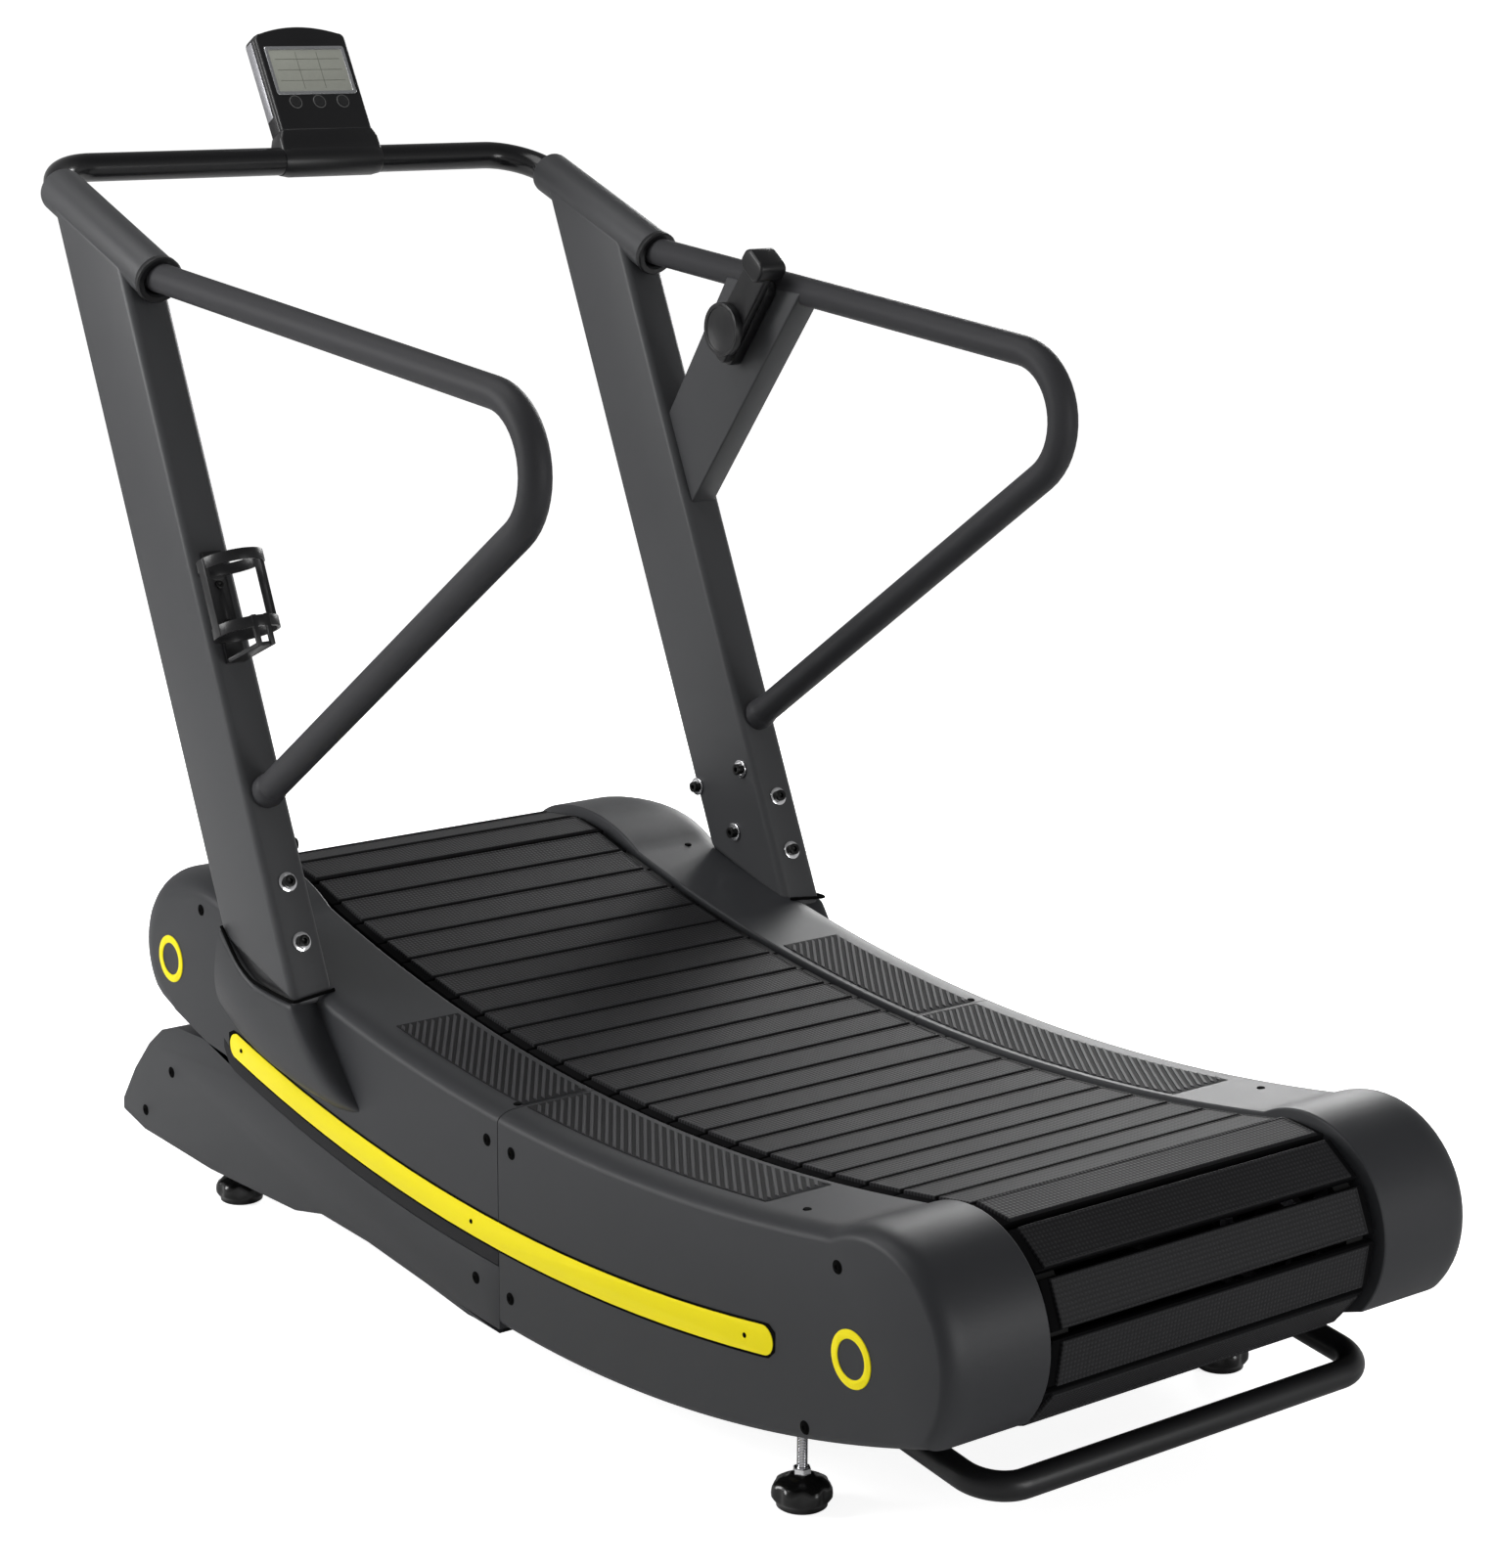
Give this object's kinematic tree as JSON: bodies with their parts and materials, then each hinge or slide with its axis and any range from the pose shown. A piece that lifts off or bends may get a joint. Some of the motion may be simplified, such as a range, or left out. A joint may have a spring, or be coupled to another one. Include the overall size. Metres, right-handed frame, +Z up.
{
  "type": "curved manual treadmill",
  "caption": "Curved manual treadmill with a slatted running belt, leaning side posts, loop handrails, a front bar with a small display and four levelling feet.",
  "frame": {"origin": "on the floor under the middle of the machine's bounding box", "axes": "+Y towards the front bar, the way the runner faces; +X to the runner's right; +Z up"},
  "size_m": [0.855, 1.9452, 1.5315],
  "materials": {
    "powder_coat": "matte",
    "black_plastic": "satin",
    "cable": "matte",
    "bolt": "satin",
    "chrome": "polished",
    "lcd": "gloss",
    "bezel": "satin",
    "button_plastic": "matte",
    "pcb": "matte",
    "cover_plastic": "matte",
    "pad": "matte",
    "yellow_trim": "satin",
    "slat": "satin",
    "tread": "matte",
    "belt": "matte",
    "drum": "satin",
    "steel": "satin",
    "roller": "matte",
    "flywheel": "satin",
    "magnet": "satin",
    "wheel_plastic": "matte",
    "foot_plastic": "gloss"
  },
  "bodies": {
    "frame": {"side_frame_left": "powder_coat", "side_frame_right": "powder_coat", "cross_members": "powder_coat", "base_rail_left": "powder_coat", "base_rail_right": "powder_coat", "mast_left": "powder_coat", "mast_right": "powder_coat", "sleeve_rings": "black_plastic", "front_handlebar": "powder_coat", "side_rail_left": "powder_coat", "side_rail_right": "powder_coat", "lever_strut": "powder_coat", "lever_housing": "black_plastic", "lever_cable": "cable", "mast_bolts": "bolt", "mast_washers": "chrome", "console_bracket": "powder_coat", "console_back": "black_plastic", "console_front": "black_plastic", "console_screen": "lcd", "screen_bezel": "bezel", "circuit_board": "pcb", "bottle_cage": "black_plastic", "cage_screws": "bolt", "cover_front_left": "cover_plastic", "cover_front_right": "cover_plastic", "cover_rear_left": "cover_plastic", "cover_rear_right": "cover_plastic", "lower_cover_left": "cover_plastic", "lower_cover_right": "cover_plastic", "grip_pads": "pad", "stripes": "yellow_trim", "ring_trims": "yellow_trim", "cover_screws": "bolt", "slats": "slat", "slat_treads": "tread", "drive_belts": "belt", "axle_bearings": "steel", "track_bearings": "steel", "flywheel_belt": "belt", "foot_lock_nuts": "steel", "lift_bar": "powder_coat"},
    "front_drum_body": {"front_drum": "drum"},
    "rear_drum_body": {"rear_drum": "drum"},
    "flywheel_body": {"flywheel": "flywheel"},
    "roller_front_body": {"return_roller_front": "roller"},
    "roller_rear_body": {"return_roller_rear": "roller"},
    "lever_body": {"shift_lever": "black_plastic", "lever_hub_cap": "black_plastic"},
    "brake_body": {"magnet_bracket": "steel", "magnets": "magnet"},
    "button_left_body": {"button_left": "button_plastic"},
    "button_middle_body": {"button_middle": "button_plastic"},
    "button_right_body": {"button_right": "button_plastic"},
    "wheel_left_body": {"transport_wheel_left": "wheel_plastic"},
    "wheel_right_body": {"transport_wheel_right": "wheel_plastic"},
    "foot_front_left_body": {"foot_front_left": "foot_plastic"},
    "foot_front_right_body": {"foot_front_right": "foot_plastic"},
    "foot_rear_left_body": {"foot_rear_left": "foot_plastic"},
    "foot_rear_right_body": {"foot_rear_right": "foot_plastic"}
  },
  "joints": [
    {"name": "front_drum_spin", "type": "hinge", "parent": "frame", "child": "front_drum_body", "pos_m": [0, 0.579, 0.342], "axis": [1, 0, 0], "continuous": true},
    {"name": "rear_drum_spin", "type": "hinge", "parent": "frame", "child": "rear_drum_body", "pos_m": [0, -0.848, 0.256], "axis": [1, 0, 0], "continuous": true},
    {"name": "flywheel_spin", "type": "hinge", "parent": "frame", "child": "flywheel_body", "pos_m": [0, 0.297, 0.262], "axis": [1, 0, 0], "continuous": true},
    {"name": "return_roller_front_spin", "type": "hinge", "parent": "frame", "child": "roller_front_body", "pos_m": [0, 0.207, 0.1622], "axis": [1, 0, 0], "continuous": true},
    {"name": "return_roller_rear_spin", "type": "hinge", "parent": "frame", "child": "roller_rear_body", "pos_m": [0, -0.473, 0.11585], "axis": [1, 0, 0], "continuous": true},
    {"name": "resistance_lever", "type": "hinge", "parent": "frame", "child": "lever_body", "pos_m": [0, 0.329, 1.146], "axis": [1, 0, 0], "range_deg": [-20, 20]},
    {"name": "brake_arm", "type": "hinge", "parent": "frame", "child": "brake_body", "pos_m": [0, 0.193, 0.196], "axis": [1, 0, 0], "range_deg": [-1.45, 1.45]},
    {"name": "button_left_press", "type": "slide", "parent": "frame", "child": "button_left_body", "axis": [0, 0.8746, -0.4848], "range_m": [0, 0.001], "stiffness_N_per_m": 1500, "springref_m": -0.0005},
    {"name": "button_middle_press", "type": "slide", "parent": "frame", "child": "button_middle_body", "axis": [0, 0.8746, -0.4848], "range_m": [0, 0.001], "stiffness_N_per_m": 1500, "springref_m": -0.0005},
    {"name": "button_right_press", "type": "slide", "parent": "frame", "child": "button_right_body", "axis": [0, 0.8746, -0.4848], "range_m": [0, 0.001], "stiffness_N_per_m": 1500, "springref_m": -0.0005},
    {"name": "transport_wheel_left_spin", "type": "hinge", "parent": "frame", "child": "wheel_left_body", "pos_m": [-0.2835, 0.671, 0.047], "axis": [1, 0, 0], "continuous": true},
    {"name": "transport_wheel_right_spin", "type": "hinge", "parent": "frame", "child": "wheel_right_body", "pos_m": [0.2835, 0.671, 0.047], "axis": [1, 0, 0], "continuous": true},
    {"name": "foot_front_left_height", "type": "slide", "parent": "frame", "child": "foot_front_left_body", "axis": [0, 0, 1], "range_m": [-0.01, 0.008]},
    {"name": "foot_front_right_height", "type": "slide", "parent": "frame", "child": "foot_front_right_body", "axis": [0, 0, 1], "range_m": [-0.01, 0.008]},
    {"name": "foot_rear_left_height", "type": "slide", "parent": "frame", "child": "foot_rear_left_body", "axis": [0, 0, 1], "range_m": [-0.01, 0.008]},
    {"name": "foot_rear_right_height", "type": "slide", "parent": "frame", "child": "foot_rear_right_body", "axis": [0, 0, 1], "range_m": [-0.01, 0.008]}
  ],
  "couplings": [
    {"joint": "rear_drum_spin", "follows": "front_drum_spin", "ratio": 0.87736},
    {"joint": "flywheel_spin", "follows": "front_drum_spin", "ratio": 2.8},
    {"joint": "return_roller_front_spin", "follows": "front_drum_spin", "ratio": -6.6429},
    {"joint": "return_roller_rear_spin", "follows": "front_drum_spin", "ratio": -6.6429},
    {"joint": "brake_arm", "follows": "resistance_lever", "ratio": 0.07}
  ]
}
